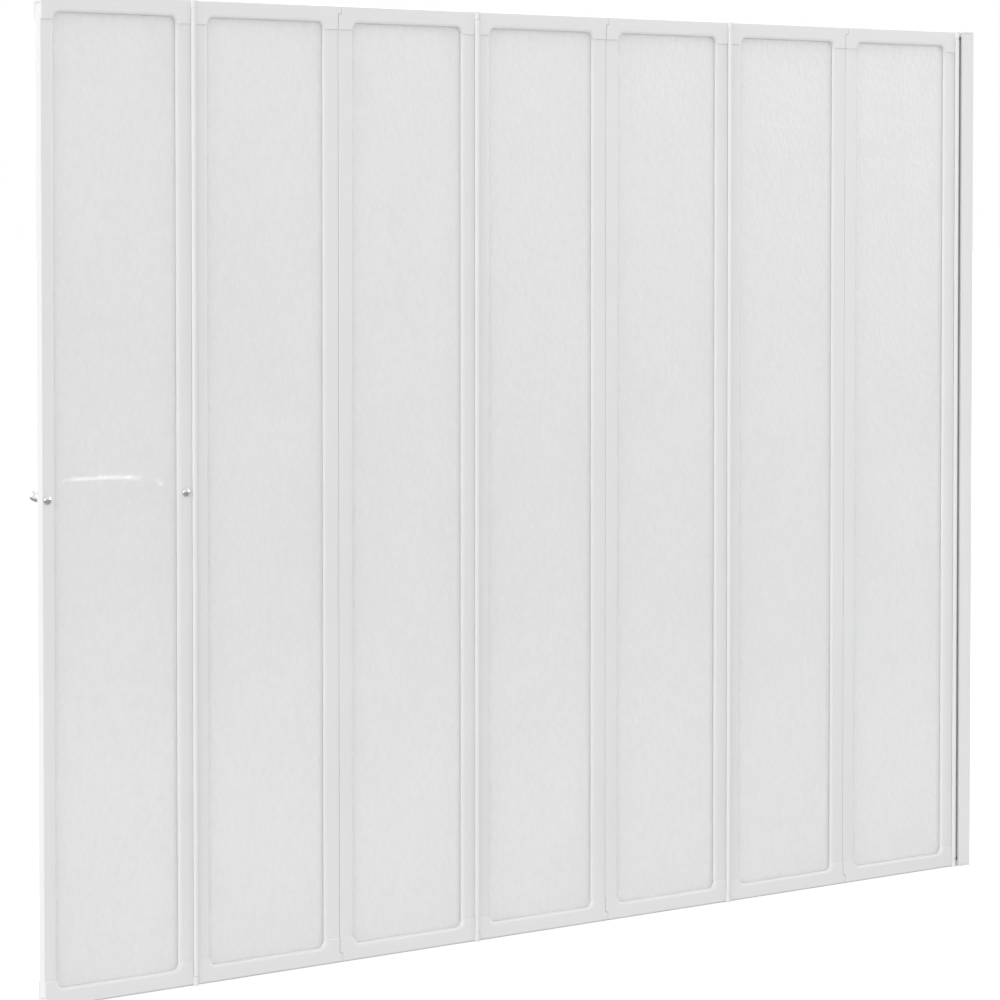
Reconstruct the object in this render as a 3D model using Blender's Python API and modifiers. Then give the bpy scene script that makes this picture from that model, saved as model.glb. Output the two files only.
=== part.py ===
"""A folding bath screen of seven panels, opened out straight along the edge of a bath.

The wall is the plane x = 0 and the screen reaches from it along -X. The front looks along -Y, the
towel rail is on the back, and z = 0 is half the height. Panel 1 hangs on the wall, and the last
panel is the free end. Hinge axes lie by turns on the front and on the back, proud of the faces.
"""

import math

import bmesh
import bpy
from mathutils import Matrix

# Whole screen
SCREEN_WIDTH = 1.680
SCREEN_HEIGHT = 1.300
PANEL_COUNT = 7
WALL_REACH = 0.034
FREE_END_TRIM = 0.0045

# Clearances
FIT = 0.0003
RUN = 0.0003
END_PLAY = 0.0004
EDGE_GAP = 0.0003
OVERRUN = 0.010
MERGE = 0.000001

# Upright stiles, hollow profiles with a groove for the pane
STILE_WIDTH = 0.024
STILE_THICKNESS = 0.013
STILE_WALL = 0.0016
STILE_CORNER = 0.001
LIP_RADIUS = 0.0036

# Panes
PANE_THICKNESS = 0.003
PANE_BITE = 0.0075
PANE_PLAY = 0.0005

# Top and bottom rails, which slip over the ends of the stiles
RAIL_WALL = 0.0014
TOP_RAIL_HEIGHT = 0.0226
BOTTOM_RAIL_HEIGHT = 0.0218
RAIL_LEG = 0.0325
RAIL_LEG_STRAIGHT = 0.0008
RAIL_CHAMFER = 0.001

# Hinges
HINGE_PROUD = 0.0006
BARREL_RADIUS = 0.0032
ROD_RADIUS = 0.0015
ROD_COVER = 0.002
EAR_HEIGHT = 0.011
EAR_REACH = 0.0045

# Seals under the bottom rails
SEAL_DROP = 0.0022
SEAL_WIDTH = 0.0088
SEAL_ROUNDING = 0.0008
SEAL_BEAD_WIDTH = 0.0022
SEAL_BEAD_HEIGHT = 0.003

# Wall channel and the hinge profile that slides in it
CHANNEL_DEPTH = 0.0235
CHANNEL_THICKNESS = 0.022
CHANNEL_WALL = 0.002
CHANNEL_BACK = 0.0025
CHANNEL_LIP = 0.002
CHANNEL_CORNER = 0.0012
SHADOW_LINE_INSET = 0.0036
SHADOW_LINE_DEPTH = 0.0006
SLIDER_INSET = 0.003
SLIDER_LENGTH = 0.011
SLIDER_WALL = 0.0015
NECK_THICKNESS = 0.005
POST_FLANGE = 0.0062
WALL_HOLE_RADIUS = 0.00275
WALL_HOLE_SHARES = (-0.44, -0.16, 0.16, 0.44)

# End caps of the wall channel
CAP_PLATE = 0.0025
CAP_PLUG = 0.006
CAP_TONGUE = 0.007
CAP_TONGUE_GAP = 0.001

# Clamp screws
SCREW_HEAD_RADIUS = 0.0038
SCREW_HEAD_HEIGHT = 0.0024
SCREW_RADIUS = 0.0018
SCREW_LENGTH = 0.007
SCREW_SLOT_WIDTH = 0.001
SCREW_SLOT_DEPTH = 0.0012
SCREW_SLOT_LENGTH = 0.004
SCREW_SHARES = {"top": 0.43, "middle": 0.0, "bottom": -0.43}

# Towel rail and its cap nuts
TUBE_RADIUS = 0.005
TUBE_BEND = 0.016
TUBE_STANDOFF = 0.040
TUBE_RISE = 0.017
TUBE_RISE_START = 0.002
TUBE_RISE_END = 0.095
FIXING_INSET = 0.012
FIXING_LEVEL = 0.0042
STUD_RADIUS = 0.002
STUD_GRIP = 0.0016
NUT_RADIUS = 0.0058
NUT_RIM = 0.0008
NUT_HEIGHT = 0.0034
NUT_CROWN = 0.001

# Steps of round shapes
CORNER_STEPS = 3
LIP_STEPS = 2
ARC_STEPS = 7
BARREL_STEPS = 18
ROUND_SIDES = 20
HOLE_SIDES = 16
TUBE_STEPS = 28
TUBE_RESOLUTION = 4
TURN_STEPS = 24

# Angles in degrees
FLAT_ANGLE = 1
RIM_ANGLE = 45
SMOOTH_ANGLE = 30

# Finishes: colour, roughness, metallic, alpha
FINISHES = {
    "profile_white": ((0.84, 0.84, 0.84), 0.35, 0.0, 1.0),
    "moulding_white": ((0.84, 0.84, 0.84), 0.4, 0.0, 1.0),
    "pane_frosted": ((0.80, 0.80, 0.80), 0.6, 0.0, 0.75),
    "seal_grey": ((0.55, 0.56, 0.57), 0.6, 0.0, 1.0),
    "rod_steel": ((0.60, 0.60, 0.62), 0.3, 1.0, 1.0),
    "chrome": ((0.75, 0.75, 0.76), 0.08, 1.0, 1.0),
    "screw_steel": ((0.62, 0.62, 0.63), 0.25, 1.0, 1.0),
}

# Worked out from the sizes above
PANEL_PITCH = (SCREEN_WIDTH + FREE_END_TRIM - WALL_REACH) / PANEL_COUNT
STILE_HALF = STILE_THICKNESS / 2
RAIL_HALF = STILE_HALF + FIT + RAIL_WALL
AXIS_OFFSET = RAIL_HALF + HINGE_PROUD
COVE_RADIUS = BARREL_RADIUS + RUN
ROD_HOLE_RADIUS = ROD_RADIUS + FIT
GROOVE_HALF = PANE_THICKNESS / 2 + FIT
TOP = SCREEN_HEIGHT / 2
FLOOR = -SCREEN_HEIGHT / 2
BOTTOM = FLOOR + SEAL_DROP
PROFILE_TOP = TOP - EAR_HEIGHT - END_PLAY
PROFILE_BOTTOM = BOTTOM + EAR_HEIGHT + END_PLAY
CHANNEL_HALF = CHANNEL_THICKNESS / 2
SLIDER_HALF = CHANNEL_HALF - CHANNEL_WALL - RUN
MOUTH_HALF = SLIDER_HALF - CHANNEL_LIP
FRONT = -1
BACK = 1

PARTS = bpy.data.collections.new("folding_bath_screen")


def clear_scene():
    for obj in list(bpy.data.objects):
        bpy.data.objects.remove(obj, do_unlink=True)


def make_materials():
    made = {}
    for name, (colour, roughness, metallic, alpha) in FINISHES.items():
        material = bpy.data.materials.new(name)
        material.use_nodes = True
        shader = material.node_tree.nodes["Principled BSDF"]
        shader.inputs["Base Color"].default_value = (*colour, 1.0)
        shader.inputs["Roughness"].default_value = roughness
        shader.inputs["Metallic"].default_value = metallic
        shader.inputs["Alpha"].default_value = alpha
        made[name] = material
    return made


def arc(centre, radius, start, end, steps):
    """Points of a circle from the start angle to the end angle, both in degrees."""
    angles = [math.radians(start + (end - start) * i / steps) for i in range(steps + 1)]
    return [(centre[0] + radius * math.cos(a), centre[1] + radius * math.sin(a)) for a in angles]


def circle(centre, radius, sides):
    return arc(centre, radius, 0, 360, sides)[:-1]


def rectangle(left, right, low, high):
    return [(left, low), (right, low), (right, high), (left, high)]


def solid_object(name, mesh, matrix=None):
    """A closed mesh as an object, its doubles merged and its faces turned outwards."""
    shape = bmesh.new()
    shape.from_mesh(mesh)
    bmesh.ops.remove_doubles(shape, verts=shape.verts, dist=MERGE)
    if matrix is not None:
        bmesh.ops.transform(shape, matrix=matrix, verts=shape.verts)
    bmesh.ops.recalc_face_normals(shape, faces=shape.faces)
    shape.to_mesh(mesh)
    shape.free()
    mesh.name = name
    obj = bpy.data.objects.new(name, mesh)
    PARTS.objects.link(obj)
    return obj


def evaluated_mesh(obj):
    graph = bpy.context.evaluated_depsgraph_get()
    return bpy.data.meshes.new_from_object(obj.evaluated_get(graph))


def extrusion(name, loops, low, high, axis="Z"):
    """A flat outline, with its holes as further loops, drawn out from low to high along an axis.

    The outline lies in the plane of the other two axes, in the order X, Y, Z.
    """
    outline = bpy.data.curves.new(name, "CURVE")
    outline.dimensions = "2D"
    outline.fill_mode = "BOTH"
    outline.extrude = (high - low) / 2
    for loop in loops:
        spline = outline.splines.new("POLY")
        spline.points.add(len(loop) - 1)
        for point, (across, up) in zip(spline.points, loop):
            point.co = (across, up, 0, 1)
        spline.use_cyclic_u = True
    drawn = bpy.data.objects.new(name, outline)
    PARTS.objects.link(drawn)
    mesh = evaluated_mesh(drawn)
    bpy.data.objects.remove(drawn, do_unlink=True)
    lift = Matrix.Translation((0, 0, (low + high) / 2))
    turns = {
        "X": Matrix(((0, 0, 1, 0), (1, 0, 0, 0), (0, 1, 0, 0), (0, 0, 0, 1))),
        "Y": Matrix(((1, 0, 0, 0), (0, 0, 1, 0), (0, 1, 0, 0), (0, 0, 0, 1))),
        "Z": Matrix.Identity(4),
    }
    return solid_object(name, mesh, turns[axis] @ lift)


def cylinder(name, centre, radius, low, high, sides=ROUND_SIDES, axis="Z"):
    """A round bar from low to high along Z, or along Y with its centre given as x and z."""
    shape = bmesh.new()
    bmesh.ops.create_cone(
        shape, cap_ends=True, segments=sides, radius1=radius, radius2=radius, depth=high - low
    )
    middle = (low + high) / 2
    if axis == "Z":
        place = Matrix.Translation((centre[0], centre[1], middle))
    else:
        place = Matrix.Translation((centre[0], middle, centre[1])) @ Matrix.Rotation(math.pi / 2, 4, "X")
    bmesh.ops.transform(shape, matrix=place, verts=shape.verts)
    mesh = bpy.data.meshes.new(name)
    shape.to_mesh(mesh)
    shape.free()
    return solid_object(name, mesh)


def box(name, low, high):
    """A rectangular block between two corners."""
    shape = bmesh.new()
    bmesh.ops.create_cube(shape, size=1)
    centre = [(a + b) / 2 for a, b in zip(low, high)]
    sides = [b - a for a, b in zip(low, high)]
    place = Matrix.Translation(centre) @ Matrix.Diagonal((*sides, 1))
    bmesh.ops.transform(shape, matrix=place, verts=shape.verts)
    mesh = bpy.data.meshes.new(name)
    shape.to_mesh(mesh)
    shape.free()
    return solid_object(name, mesh)


def turned(name, profile):
    """A profile of (radius, height) points turned about Z."""
    mesh = bpy.data.meshes.new(name)
    mesh.from_pydata(
        [(radius, 0, height) for radius, height in profile],
        [(i, i + 1) for i in range(len(profile) - 1)],
        [],
    )
    drawn = bpy.data.objects.new(name, mesh)
    PARTS.objects.link(drawn)
    screw = drawn.modifiers.new("turn", "SCREW")
    screw.axis = "Z"
    screw.steps = TURN_STEPS
    screw.render_steps = TURN_STEPS
    screw.use_merge_vertices = True
    screw.merge_threshold = MERGE
    finished = evaluated_mesh(drawn)
    bpy.data.objects.remove(drawn, do_unlink=True)
    return solid_object(name, finished)


def combine(body, tool, operation):
    """Joins the tool to the body, or cuts it out of it, and removes the tool."""
    boolean = body.modifiers.new("combine", "BOOLEAN")
    boolean.operation = operation
    boolean.object = tool
    mesh = evaluated_mesh(body)
    name = body.name
    bpy.data.objects.remove(body, do_unlink=True)
    bpy.data.objects.remove(tool, do_unlink=True)
    result = solid_object(name, mesh)
    result.name = name
    return result


def cut(body, tool):
    return combine(body, tool, "DIFFERENCE")


def join(body, tool):
    return combine(body, tool, "UNION")


def soften(body, on_rim, width, steps):
    """Rounds the sharp edges whose two ends both lie on a rim, in so many steps."""
    shape = bmesh.new()
    shape.from_mesh(body.data)
    flat = math.radians(FLAT_ANGLE)
    bmesh.ops.dissolve_limit(shape, angle_limit=flat, verts=shape.verts, edges=shape.edges)
    rims = [
        edge
        for edge in shape.edges
        if all(on_rim(vert.co) for vert in edge.verts)
        and edge.calc_face_angle(0) > math.radians(RIM_ANGLE)
    ]
    bmesh.ops.bevel(shape, geom=rims, offset=width, segments=steps, profile=0.5, affect="EDGES")
    shape.to_mesh(body.data)
    shape.free()


def on_rail_face(point):
    """True for a point on the front or the back of a rail."""
    return abs(abs(point.y) - RAIL_HALF) < MERGE


def on_rail_lip(point):
    """True for a point on the front or back outline of a rail that borders the pane."""
    inside = STILE_WIDTH - MERGE < -point.x < PANEL_PITCH - STILE_WIDTH + MERGE
    return inside and on_rail_face(point)


def hinge_corner(kind):
    """The corner of a stile next to a hinge on its +Y side, from its outer side to its face."""
    axis = (0, AXIS_OFFSET)
    if kind == "plain":
        centre = (FREE_END_TRIM + STILE_CORNER, STILE_HALF - STILE_CORNER)
        return arc(centre, STILE_CORNER, 180, 90, CORNER_STEPS)
    if kind == "cove":
        start = -math.degrees(math.acos(EDGE_GAP / COVE_RADIUS))
        end = -math.degrees(math.asin((AXIS_OFFSET - STILE_HALF) / COVE_RADIUS))
        return arc(axis, COVE_RADIUS, start, end, CORNER_STEPS)
    start = -math.degrees(math.acos(EDGE_GAP / BARREL_RADIUS))
    return arc(axis, BARREL_RADIUS, start, -360, BARREL_STEPS) + [(BARREL_RADIUS, STILE_HALF)]


def stile_loops(kind):
    """Plan of a stile: across it from the joint inwards, and its thickness, with the hinge at +Y."""
    groove_bottom = STILE_WIDTH - PANE_BITE - PANE_PLAY
    inner = STILE_WIDTH - LIP_RADIUS
    lip = STILE_HALF - LIP_RADIUS
    face = STILE_HALF - STILE_CORNER
    outer = FREE_END_TRIM if kind == "plain" else EDGE_GAP
    outline = hinge_corner(kind)
    outline += arc((inner, lip), LIP_RADIUS, 90, 0, LIP_STEPS)
    outline += [(STILE_WIDTH, GROOVE_HALF), (groove_bottom, GROOVE_HALF)]
    outline += [(groove_bottom, -GROOVE_HALF), (STILE_WIDTH, -GROOVE_HALF)]
    outline += arc((inner, -lip), LIP_RADIUS, 0, -90, LIP_STEPS)
    outline += arc((outer + STILE_CORNER, -face), STILE_CORNER, 270, 180, CORNER_STEPS)
    chamber = rectangle(
        outer + STILE_WALL,
        groove_bottom - STILE_WALL,
        STILE_WALL - STILE_HALF,
        STILE_HALF - STILE_WALL,
    )
    loops = [outline, chamber]
    if kind == "barrel":
        loops.append(circle((0, AXIS_OFFSET), ROD_HOLE_RADIUS, HOLE_SIDES))
    return loops


def placed(loops, start, direction, side):
    """Outlines moved to a joint, reaching from it along X in a direction, with the hinge on a side."""
    return [[(start + direction * across, side * up) for across, up in loop] for loop in loops]


def stile(name, kind, start, direction, side):
    """A stile that begins at a joint and reaches from it along X, with the hinge on a side."""
    loops = placed(stile_loops(kind), start, direction, side)
    return extrusion(name, loops, PROFILE_BOTTOM, PROFILE_TOP)


def cut_for_stud(body, inset):
    """A hole through a stile for one stud of the towel rail."""
    reach = STILE_HALF + OVERRUN
    centre = (inset, FIXING_LEVEL)
    return cut(body, cylinder("hole", centre, STUD_RADIUS + FIT, -reach, reach, HOLE_SIDES, "Y"))


def wall_side_stile(name, side, hinged):
    body = stile(name, "cove", 0, -1, side)
    return body if hinged else cut_for_stud(body, -FIXING_INSET)


def free_side_stile(name, side, hinged):
    if hinged:
        return stile(name, "barrel", -PANEL_PITCH, 1, -side)
    body = stile(name, "plain", -PANEL_PITCH, 1, -side)
    return cut_for_stud(body, FIXING_INSET - PANEL_PITCH)


def rail_outline(height, hinged_left):
    """Front view of a rail: along the panel, and the depth from the panel's end."""
    left = -PANEL_PITCH
    outline = [(EAR_REACH, 0), (EAR_REACH, EAR_HEIGHT), (-EDGE_GAP, EAR_HEIGHT), (-EDGE_GAP, RAIL_LEG)]
    inner = RAIL_LEG - RAIL_LEG_STRAIGHT
    corner = inner - height
    outline.append((-STILE_WIDTH, RAIL_LEG))
    outline += arc((-STILE_WIDTH - corner, inner), corner, 0, -90, ARC_STEPS)
    outline += arc((left + STILE_WIDTH + corner, inner), corner, -90, -180, ARC_STEPS)
    outline.append((left + STILE_WIDTH, RAIL_LEG))
    if hinged_left:
        notch = left + EAR_REACH + RUN
        outline += [(left + EDGE_GAP, RAIL_LEG), (left + EDGE_GAP, EAR_HEIGHT + END_PLAY)]
        outline += [(notch, EAR_HEIGHT + END_PLAY), (notch, 0)]
    else:
        outline += [(left + FREE_END_TRIM, RAIL_LEG), (left + FREE_END_TRIM, 0)]
    return outline


def pocket_edge(side, right_side, left_side):
    """One long edge of the plan of a rail's pocket, from the right end to the left.

    It follows the rounded lips of the stiles. Beside a hinge barrel the pocket goes right through
    that face of the rail.
    """
    stile_face = side * (STILE_HALF + FIT)
    groove_face = side * GROOVE_HALF
    outside = side * (AXIS_OFFSET + BARREL_RADIUS + OVERRUN)
    stile_room = STILE_WIDTH + FIT
    inner = STILE_WIDTH - LIP_RADIUS
    lip = side * (STILE_HALF + FIT - LIP_RADIUS)
    left = -PANEL_PITCH
    if side == right_side:
        edge = [(OVERRUN, outside), (-COVE_RADIUS, outside), (-COVE_RADIUS, stile_face)]
    else:
        edge = [(OVERRUN, stile_face)]
    edge += arc((-inner, lip), LIP_RADIUS, side * 90, side * 180, LIP_STEPS)
    edge += [(-stile_room, lip), (-stile_room, groove_face)]
    edge += [(left + stile_room, groove_face), (left + stile_room, lip)]
    edge += arc((left + inner, lip), LIP_RADIUS, 0, side * 90, LIP_STEPS)
    if side == left_side:
        edge += [(left + COVE_RADIUS, stile_face), (left + COVE_RADIUS, outside)]
        edge.append((left - OVERRUN, outside))
    else:
        edge.append((left - OVERRUN, stile_face))
    return edge


def rail(name, end, right_side, hinged_left):
    """A top rail (end 1) or bottom rail (end -1), with its hinge ear on the given side."""
    edge, height = (TOP, TOP_RAIL_HEIGHT) if end > 0 else (BOTTOM, BOTTOM_RAIL_HEIGHT)
    left_side = -right_side if hinged_left else 0

    def level(depth):
        return edge - end * depth

    def span(near, far):
        return sorted((level(near), level(far)))

    outline = [(along, level(depth)) for along, depth in rail_outline(height, hinged_left)]
    body = extrusion(name, [outline], -RAIL_HALF, RAIL_HALF, "Y")
    soften(body, on_rail_lip, LIP_RADIUS, LIP_STEPS)
    soften(body, on_rail_face, RAIL_CHAMFER, 1)
    axis = (0, right_side * AXIS_OFFSET)
    ear_end = FIT if end > 0 else FIT - SEAL_DROP
    ear = cylinder("ear", axis, BARREL_RADIUS, *span(ear_end, EAR_HEIGHT + END_PLAY))
    body = join(body, ear)
    plan = pocket_edge(1, right_side, left_side) + pocket_edge(-1, right_side, left_side)[::-1]
    body = cut(body, extrusion("pocket", [plan], *span(EAR_HEIGHT, RAIL_LEG + OVERRUN)))
    hole = cylinder("hole", axis, ROD_HOLE_RADIUS, *span(ROD_COVER, EAR_HEIGHT + OVERRUN), HOLE_SIDES)
    body = cut(body, hole)
    if end < 0:
        slot_half = SEAL_BEAD_WIDTH / 2 + FIT
        low = (-PANEL_PITCH - OVERRUN, -slot_half, BOTTOM - OVERRUN)
        high = (OVERRUN, slot_half, BOTTOM + SEAL_BEAD_HEIGHT + FIT)
        body = cut(body, box("slot", low, high))
    return body


def pane(name):
    """A plain sheet whose edges sit in the grooves of the stiles and rails."""
    inset = STILE_WIDTH - PANE_BITE
    low = (inset - PANEL_PITCH, -PANE_THICKNESS / 2, PROFILE_BOTTOM)
    high = (-inset, PANE_THICKNESS / 2, PROFILE_TOP)
    return box(name, low, high)


def seal(name, hinged_left):
    """A soft strip under the bottom rail, with a bead that holds it in the rail's slot."""
    half = SEAL_WIDTH / 2
    bead = SEAL_BEAD_WIDTH / 2
    shoulder = BOTTOM - FIT
    rounding = FLOOR + SEAL_ROUNDING
    outline = arc((half - SEAL_ROUNDING, rounding), SEAL_ROUNDING, -90, 0, CORNER_STEPS)
    outline += [(half, shoulder), (bead, shoulder), (bead, BOTTOM + SEAL_BEAD_HEIGHT)]
    outline += [(-bead, BOTTOM + SEAL_BEAD_HEIGHT), (-bead, shoulder), (-half, shoulder)]
    outline += arc((SEAL_ROUNDING - half, rounding), SEAL_ROUNDING, 180, 270, CORNER_STEPS)
    left = EAR_REACH + RUN if hinged_left else FREE_END_TRIM
    return extrusion(name, [outline], left + EDGE_GAP - PANEL_PITCH, EAR_REACH - EDGE_GAP, "X")


def rod(name, side):
    """A steel rod through the barrel, held by the blind holes of the two ears."""
    low = BOTTOM + ROD_COVER + FIT
    high = TOP - ROD_COVER - FIT
    return cylinder(name, (0, side * AXIS_OFFSET), ROD_RADIUS, low, high, HOLE_SIDES)


def rail_plan(along):
    """Plan of the towel rail's centre line, this far along it from the back of the stile."""
    start = STILE_HALF + FIT
    leg = TUBE_STANDOFF - TUBE_BEND - start
    bend = TUBE_BEND * math.pi / 2
    span = PANEL_PITCH / 2 - FIXING_INSET
    if along < leg:
        return -span, start + along
    if along < leg + bend:
        angle = (along - leg) / TUBE_BEND
        return TUBE_BEND * (1 - math.cos(angle)) - span, start + leg + TUBE_BEND * math.sin(angle)
    return TUBE_BEND - span + along - leg - bend, TUBE_STANDOFF


def rail_rise(along):
    """Height of the centre line, which climbs evenly in and out from the leg to the run."""
    share = (along - TUBE_RISE_START) / (TUBE_RISE_END - TUBE_RISE_START)
    share = min(max(share, 0), 1)
    return TUBE_RISE * share * share * (3 - 2 * share)


def towel_rail(name):
    """A bent tube with a stud at each end, fixed just above the middle of the panel's height."""
    stud = STUD_RADIUS / TUBE_RADIUS
    seat = STILE_HALF + FIT
    end = PANEL_PITCH / 2 - FIXING_INSET
    half = [(-end, -seat - STUD_GRIP, 0, stud), (-end, seat, 0, stud)]
    for i in range(TUBE_STEPS + 1):
        along = FIT + (TUBE_RISE_END - FIT) * i / TUBE_STEPS
        half.append((*rail_plan(along), rail_rise(along), 1))
    points = half + [(-x, y, z, radius) for x, y, z, radius in half[::-1]]
    line = bpy.data.curves.new(name, "CURVE")
    line.dimensions = "3D"
    line.bevel_depth = TUBE_RADIUS
    line.bevel_resolution = TUBE_RESOLUTION
    line.use_fill_caps = True
    spline = line.splines.new("POLY")
    spline.points.add(len(points) - 1)
    for point, (x, y, z, radius) in zip(spline.points, points):
        point.co = (x - PANEL_PITCH / 2, y, FIXING_LEVEL + z, 1)
        point.radius = radius
    drawn = bpy.data.objects.new(name, line)
    PARTS.objects.link(drawn)
    mesh = evaluated_mesh(drawn)
    bpy.data.objects.remove(drawn, do_unlink=True)
    return solid_object(name, mesh)


def cap_nut(name, inset):
    """A domed nut on the front of a stile, over the end of a stud."""
    hole = STUD_RADIUS + FIT
    depth = NUT_HEIGHT - NUT_CROWN
    dome = NUT_HEIGHT - NUT_RIM
    profile = []
    for i in range(ARC_STEPS + 1):
        angle = math.pi / 2 * i / ARC_STEPS
        profile.append((NUT_RADIUS * math.sin(angle), NUT_RIM + dome * math.cos(angle)))
    profile += [(NUT_RADIUS, 0), (hole, 0), (hole, depth), (0, depth)]
    nut = turned(name, profile)
    place = Matrix.Translation((inset, -STILE_HALF - FIT, FIXING_LEVEL))
    nut.data.transform(place @ Matrix.Rotation(math.pi / 2, 4, "X"))
    return nut


def channel(name):
    """A channel with lips at its mouth, a fine line down each side and its back on the wall."""
    front = -CHANNEL_DEPTH
    corner = CHANNEL_CORNER
    inner = CHANNEL_HALF - CHANNEL_WALL
    line = SHADOW_LINE_DEPTH
    half = [(0, CHANNEL_HALF), (line - SHADOW_LINE_INSET, CHANNEL_HALF)]
    half += [(-SHADOW_LINE_INSET, CHANNEL_HALF - line), (-line - SHADOW_LINE_INSET, CHANNEL_HALF)]
    half += arc((front + corner, CHANNEL_HALF - corner), corner, 90, 180, CORNER_STEPS)
    half += [(front, MOUTH_HALF), (front + CHANNEL_LIP, MOUTH_HALF), (front + CHANNEL_LIP, inner)]
    half.append((-CHANNEL_BACK, inner))
    outline = half + [(x, -y) for x, y in half[::-1]]
    body = extrusion(name, [outline], FLOOR + CAP_PLATE + FIT, TOP - CAP_PLATE - FIT)
    for share in WALL_HOLE_SHARES:
        hole = cylinder("hole", (0, 0), WALL_HOLE_RADIUS, -OVERRUN / 2, OVERRUN / 2, HOLE_SIDES)
        place = Matrix.Translation((0, 0, share * SCREEN_HEIGHT)) @ Matrix.Rotation(math.pi / 2, 4, "Y")
        hole.data.transform(place)
        body = cut(body, hole)
    return cut_for_screws(body)


def slider_middle():
    """How far out the middle of the slider lies, where the clamp screws go in."""
    return -(CHANNEL_BACK + SLIDER_INSET + SLIDER_LENGTH / 2)


def cut_for_screws(body):
    """Holes for the clamp screws through the back side."""
    for share in SCREW_SHARES.values():
        centre = (slider_middle(), share * SCREEN_HEIGHT)
        reach = CHANNEL_HALF + OVERRUN
        body = cut(body, cylinder("hole", centre, SCREW_RADIUS + FIT, 0, reach, HOLE_SIDES, "Y"))
    return body


def hinge_profile(name):
    """The slider in the channel, a neck, and the flange with the first hinge barrel."""
    joint = -WALL_REACH
    slider_right = slider_middle() + SLIDER_LENGTH / 2
    slider_left = slider_middle() - SLIDER_LENGTH / 2
    flange = joint + EDGE_GAP + POST_FLANGE
    neck = NECK_THICKNESS / 2
    barrel = [(joint + across, -up) for across, up in hinge_corner("barrel")]
    outline = barrel + [(flange, -STILE_HALF), (flange, -neck), (slider_left, -neck)]
    outline += [(slider_left, -SLIDER_HALF), (slider_right, -SLIDER_HALF)]
    outline += [(slider_right, SLIDER_HALF), (slider_left, SLIDER_HALF), (slider_left, neck)]
    outline += [(flange, neck), (flange, STILE_HALF)]
    corner = (joint + EDGE_GAP + STILE_CORNER, STILE_HALF - STILE_CORNER)
    outline += arc(corner, STILE_CORNER, 90, 180, CORNER_STEPS)
    chamber = rectangle(
        slider_left + SLIDER_WALL,
        slider_right - SLIDER_WALL,
        SLIDER_WALL - SLIDER_HALF,
        SLIDER_HALF - SLIDER_WALL,
    )
    hole = circle((joint, -AXIS_OFFSET), ROD_HOLE_RADIUS, HOLE_SIDES)
    body = extrusion(name, [outline, chamber, hole], PROFILE_BOTTOM, PROFILE_TOP)
    return cut_for_screws(body)


def channel_cap(name, end):
    """An end cap of the channel: a plate, a plug inside the channel and, at the top, a tongue."""
    edge = TOP if end > 0 else FLOOR

    def span(near, far):
        return sorted((edge - end * near, edge - end * far))

    corner = CHANNEL_CORNER
    outline = [(0, -CHANNEL_HALF), (0, CHANNEL_HALF)]
    outline += arc((corner - CHANNEL_DEPTH, CHANNEL_HALF - corner), corner, 90, 180, CORNER_STEPS)
    outline += arc((corner - CHANNEL_DEPTH, corner - CHANNEL_HALF), corner, 180, 270, CORNER_STEPS)
    body = extrusion(name, [outline], *span(0, CAP_PLATE))
    plug_half = CHANNEL_HALF - CHANNEL_WALL - FIT
    plug = rectangle(CHANNEL_LIP + FIT - CHANNEL_DEPTH, -CHANNEL_BACK - FIT, -plug_half, plug_half)
    body = join(body, extrusion("plug", [plug], *span(CAP_PLATE / 2, CAP_PLATE + CAP_PLUG)))
    if end > 0:
        left = EAR_REACH + CAP_TONGUE_GAP - WALL_REACH
        tongue = rectangle(left, CHANNEL_LIP / 2 - CHANNEL_DEPTH, FIT - MOUTH_HALF, MOUTH_HALF - FIT)
        body = join(body, extrusion("tongue", [tongue], *span(FIT, CAP_TONGUE)))
    return body


def clamp_screw(name, height):
    """A pan-head screw with a cross recess, through the back side of the channel into the slider."""
    rim = SCREW_HEAD_HEIGHT / 2
    profile = []
    for i in range(ARC_STEPS + 1):
        angle = math.pi / 2 * i / ARC_STEPS
        profile.append((SCREW_HEAD_RADIUS * math.sin(angle), rim + rim * math.cos(angle)))
    profile += [(SCREW_HEAD_RADIUS, 0), (SCREW_RADIUS, 0)]
    profile += [(SCREW_RADIUS, SCREW_RADIUS - SCREW_LENGTH), (0, -SCREW_LENGTH)]
    screw = turned(name, profile)
    top = SCREW_HEAD_HEIGHT
    length = SCREW_SLOT_LENGTH / 2
    width = SCREW_SLOT_WIDTH / 2
    for across, along in ((length, width), (width, length)):
        low = (-across, -along, top - SCREW_SLOT_DEPTH)
        high = (across, along, top + OVERRUN)
        screw = cut(screw, box("slot", low, high))
    turn = Matrix.Rotation(-math.pi / 2, 4, "X")
    screw.data.transform(Matrix.Translation((slider_middle(), CHANNEL_HALF + FIT, height)) @ turn)
    return screw


def finish(obj, material, parent=None, offset=(0, 0, 0)):
    """Gives a piece its material, hangs it on its axis and shades its round sides smooth."""
    obj.data.materials.clear()
    obj.data.materials.append(material)
    obj.data.shade_smooth()
    obj.data.set_sharp_from_angle(angle=math.radians(SMOOTH_ANGLE))
    obj.parent = parent
    obj.location = offset


def build_panel(number, axis, side, materials):
    """The pieces of one panel and the rod it hangs on, all placed from the joint at its wall side."""
    hinged = number < PANEL_COUNT
    name = f"panel_{number}_"
    pieces = [
        (pane(name + "pane"), "pane_frosted"),
        (wall_side_stile(name + "wall_side_stile", side, hinged), "profile_white"),
        (free_side_stile(name + "free_side_stile", side, hinged), "profile_white"),
        (rail(name + "top_rail", 1, side, hinged), "moulding_white"),
        (rail(name + "bottom_rail", -1, side, hinged), "moulding_white"),
        (seal(name + "bottom_seal", hinged), "seal_grey"),
        (rod(f"hinge_{number}_rod", side), "rod_steel"),
    ]
    for obj, material in pieces:
        finish(obj, materials[material], axis, (0, -side * AXIS_OFFSET, 0))


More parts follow.
